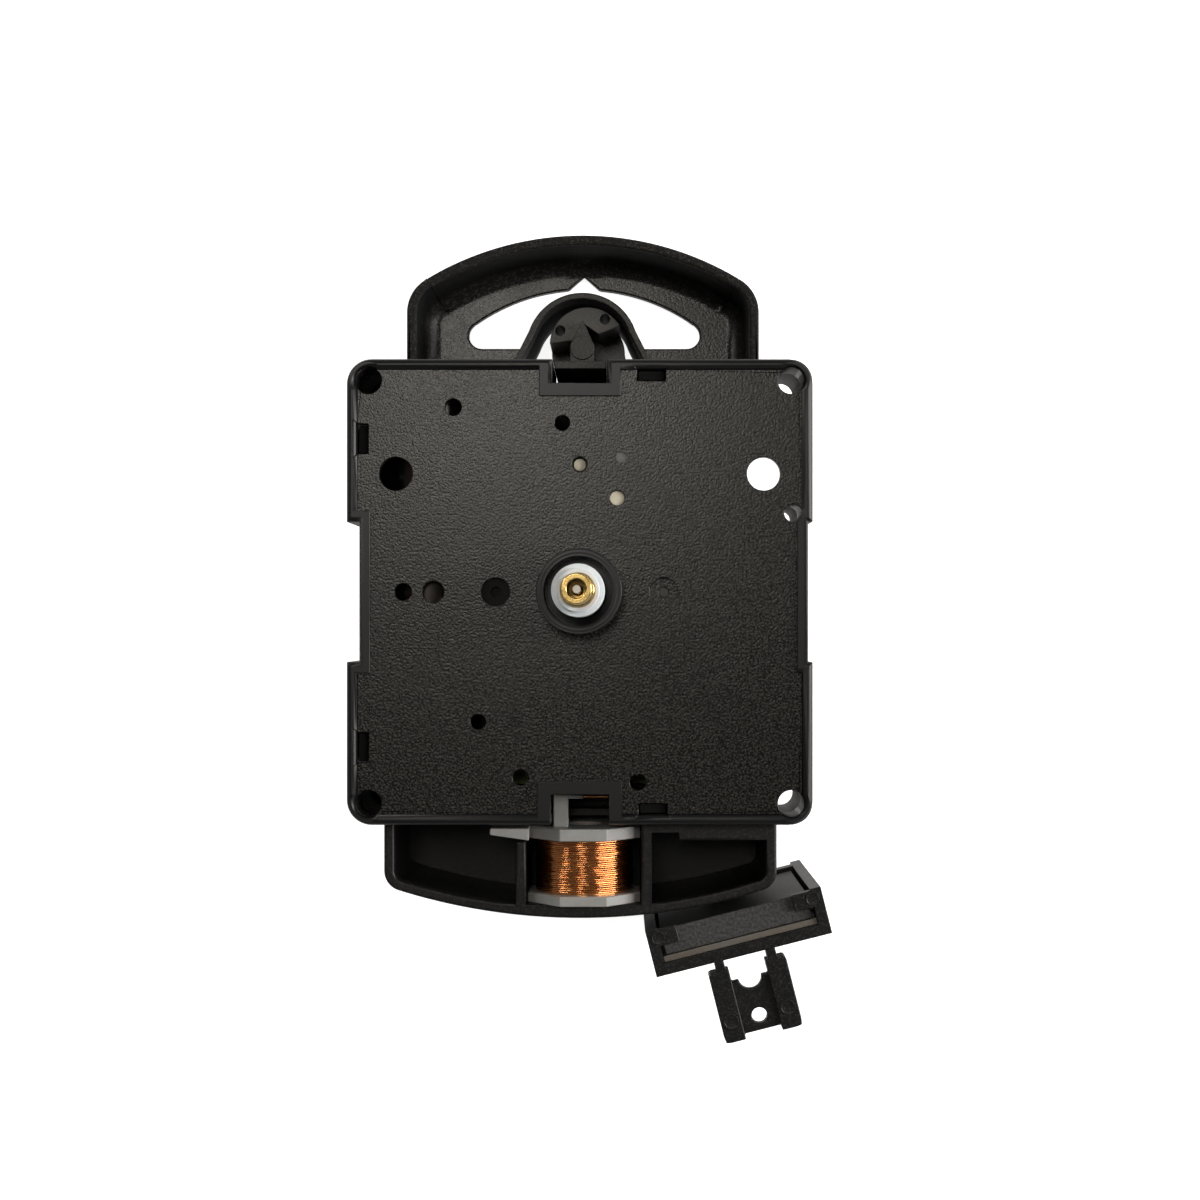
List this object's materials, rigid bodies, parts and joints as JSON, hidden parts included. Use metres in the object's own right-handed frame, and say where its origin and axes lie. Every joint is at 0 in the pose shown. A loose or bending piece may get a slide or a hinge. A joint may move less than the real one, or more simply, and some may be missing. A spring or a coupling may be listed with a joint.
{
  "type": "quartz pendulum clock movement",
  "caption": "Square quartz clock movement with hand shafts in front, a wall hanger above, and a swinging pendulum arm whose magnet passes under a drive coil below.",
  "frame": {"origin": "on the hand shafts' axis, at the front rim of the housing", "axes": "+Z out of the dial along the hand shafts, +Y up towards the hanger, +X right as the dial is seen; the movement lies on its back with the wall side down"},
  "size_m": [0.0589, 0.1026, 0.0503],
  "materials": {
    "black_plastic": "matt, finely grained",
    "cream_plastic": "satin",
    "milky_plastic": "satin",
    "white_plastic": "smooth",
    "copper": "enamelled wire",
    "board": "lacquered",
    "chip_plastic": "matt",
    "steel": "satin",
    "magnet": "ground",
    "brass": "bright",
    "cell": "printed film"
  },
  "bodies": {
    "movement": {"front_cover": "black_plastic", "rear_housing": "black_plastic", "train_bridge": "cream_plastic", "frame_plate": "black_plastic", "hanger": "black_plastic", "dome": "black_plastic", "pivot_post": "black_plastic", "coil_housing": "black_plastic", "coil_bobbin": "milky_plastic", "coil_core": "copper", "coil_winding": "copper", "coil_leads": "copper", "circuit_board": "board", "chip": "chip_plastic", "quartz_crystal": "steel", "stator": "steel", "motor_bobbin": "milky_plastic", "motor_winding": "copper", "battery": "cell", "positive_contact": "steel", "negative_contact": "steel"},
    "rotor": {"rotor_magnet": "magnet", "rotor_pinion": "cream_plastic"},
    "intermediate": {"intermediate_wheel": "cream_plastic"},
    "second": {"second_wheel": "cream_plastic", "second_shaft": "steel"},
    "third": {"third_wheel": "cream_plastic"},
    "minute": {"minute_wheel": "cream_plastic", "minute_tube": "brass"},
    "motion": {"motion_wheel": "cream_plastic", "setting_knob": "black_plastic"},
    "hour": {"hour_wheel": "white_plastic"},
    "pendulum": {"pendulum_arm": "black_plastic", "drive_magnet": "magnet", "magnet_yoke": "steel", "rod_hook": "black_plastic"}
  },
  "joints": [
    {"name": "second_turn", "type": "hinge", "parent": "movement", "child": "second", "pos_m": [0, 0, 0], "axis": [0, 0, 1], "continuous": true},
    {"name": "rotor_turn", "type": "hinge", "parent": "movement", "child": "rotor", "pos_m": [0.01263, 0.01379, 0], "axis": [0, 0, 1], "continuous": true},
    {"name": "intermediate_turn", "type": "hinge", "parent": "movement", "child": "intermediate", "pos_m": [0.0045, 0.0113, 0], "axis": [0, 0, 1], "continuous": true},
    {"name": "third_turn", "type": "hinge", "parent": "movement", "child": "third", "pos_m": [0.0101, 0, 0], "axis": [0, 0, 1], "continuous": true},
    {"name": "minute_turn", "type": "hinge", "parent": "movement", "child": "minute", "pos_m": [0, 0, 0], "axis": [0, 0, 1], "continuous": true},
    {"name": "motion_turn", "type": "hinge", "parent": "movement", "child": "motion", "pos_m": [0, -0.0109, 0], "axis": [0, 0, 1], "continuous": true},
    {"name": "hour_turn", "type": "hinge", "parent": "movement", "child": "hour", "pos_m": [0, 0, 0], "axis": [0, 0, 1], "continuous": true},
    {"name": "pendulum_swing", "type": "hinge", "parent": "movement", "child": "pendulum", "pos_m": [0, 0.035, 0], "axis": [0, 0, 1], "range_deg": [-28.4, 0]}
  ],
  "couplings": [
    {"joint": "rotor_turn", "follows": "second_turn", "ratio": 30},
    {"joint": "intermediate_turn", "follows": "second_turn", "ratio": -3},
    {"joint": "third_turn", "follows": "second_turn", "ratio": -0.125},
    {"joint": "minute_turn", "follows": "second_turn", "ratio": 0.016667},
    {"joint": "motion_turn", "follows": "second_turn", "ratio": -0.0055556},
    {"joint": "hour_turn", "follows": "second_turn", "ratio": 0.0013889}
  ]
}
